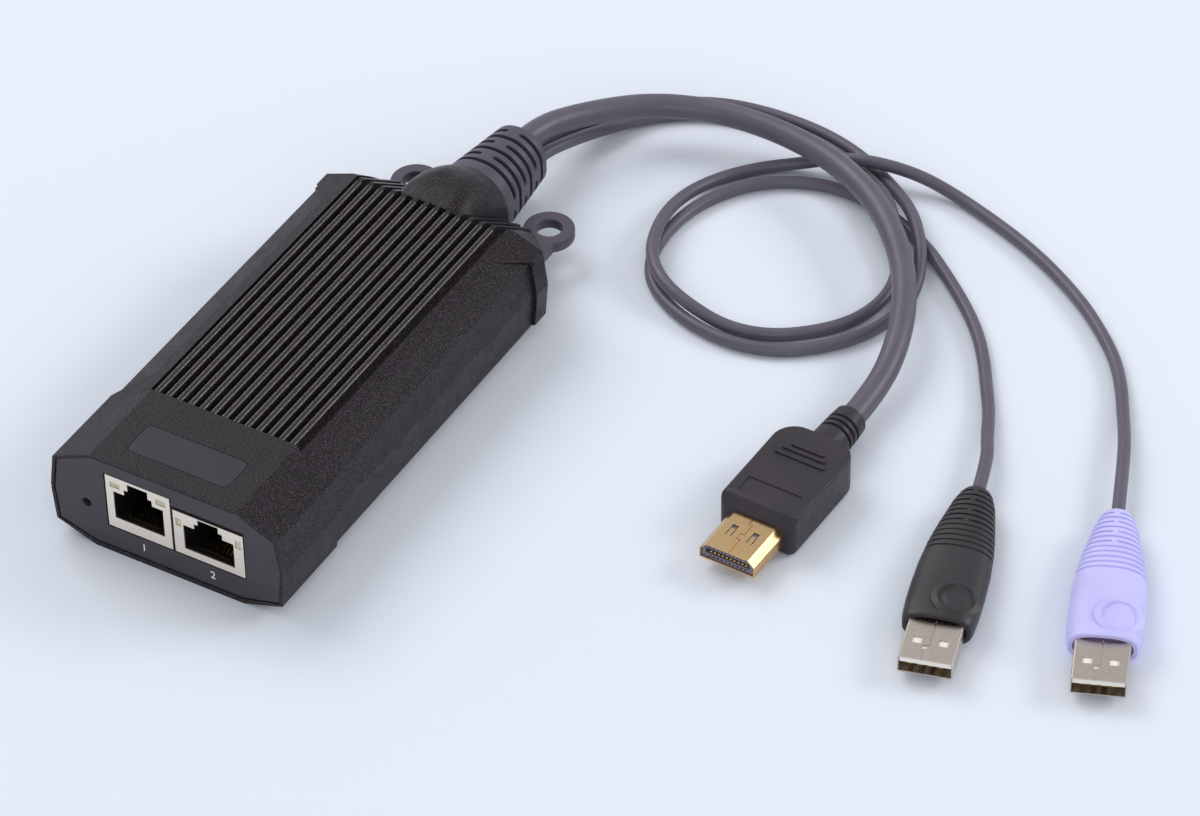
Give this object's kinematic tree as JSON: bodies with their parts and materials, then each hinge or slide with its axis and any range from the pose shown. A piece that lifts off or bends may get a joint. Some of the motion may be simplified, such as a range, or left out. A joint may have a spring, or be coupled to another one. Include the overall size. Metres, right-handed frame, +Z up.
{
  "type": "kvm dongle",
  "caption": "Faceted dark adapter box with ribbed lid, network jacks in its front face, and a video cord and data cords with plugs that leave through a slotted grommet.",
  "frame": {"origin": "centre of the housing's flat base, on the surface that it lies on", "axes": "+Y from the jacks' face towards the grommet, +X to the right when the jacks' face is seen from outside, +Z up"},
  "size_m": [0.228, 0.2045, 0.0274],
  "materials": {
    "shell_plastic": "fine spark-eroded texture",
    "panel_plastic": "smooth satin",
    "badge_plastic": "satin",
    "soft_grey": "smooth soft moulding",
    "board_laminate": "green solder mask",
    "chip_black": "moulded package",
    "pad_grey": "soft pad",
    "can_metal": "drawn can",
    "screw_steel": "zinc plated",
    "shield_metal": "bright tinned sheet",
    "insert_black": "moulded",
    "contact_gold": "gold plated",
    "lamp_clear": "clear light pipe",
    "button_plastic": "moulded",
    "cord_grey": "smooth jacket",
    "plug_black": "satin moulded grip",
    "plug_violet": "satin moulded grip",
    "plug_gold": "gold plated sheet",
    "plug_nickel": "nickel plated sheet",
    "insert_white": "moulded",
    "insert_brown": "moulded"
  },
  "bodies": {
    "adapter": {"top_cover": "shell_plastic", "bottom_shell": "shell_plastic", "front_panel": "panel_plastic", "blank_badge": "badge_plastic", "cable_boot": "soft_grey", "left_tie_loop": "soft_grey", "right_tie_loop": "soft_grey", "case_screws": "screw_steel", "main_board": "board_laminate", "processor": "chip_black", "thermal_pad": "pad_grey", "memory_chip": "chip_black", "network_chip": "chip_black", "clock_crystal": "can_metal", "left_transformer": "chip_black", "right_transformer": "chip_black", "capacitors": "can_metal", "video_header": "insert_white", "data_header": "insert_white", "cord_clamp": "insert_black", "clamp_screws": "screw_steel", "reset_switch_body": "chip_black", "left_jack_shield": "shield_metal", "left_jack_housing": "insert_black", "left_jack_contacts": "contact_gold", "left_light_pipes": "lamp_clear", "right_jack_shield": "shield_metal", "right_jack_housing": "insert_black", "right_jack_contacts": "contact_gold", "right_light_pipes": "lamp_clear", "video_plug_overmold": "plug_black", "video_plug_shell": "plug_gold", "video_plug_insulator": "insert_black", "video_plug_contacts": "contact_gold", "black_plug_overmold": "plug_black", "black_plug_shell": "plug_nickel", "black_plug_insulator": "insert_white", "black_plug_contacts": "contact_gold", "violet_plug_overmold": "plug_violet", "violet_plug_shell": "plug_nickel", "violet_plug_insulator": "insert_white", "violet_plug_contacts": "contact_gold", "video_cord": "cord_grey", "data_cord_black": "cord_grey", "data_cord_violet": "cord_grey", "video_lead": "cord_grey", "black_lead": "cord_grey", "violet_lead": "cord_grey"},
    "button": {"reset_button": "button_plastic"}
  },
  "joints": [
    {"name": "reset_press", "type": "slide", "parent": "adapter", "child": "button", "axis": [0, 1, 0], "range_m": [0, 0.00025], "stiffness_N_per_m": 300}
  ]
}
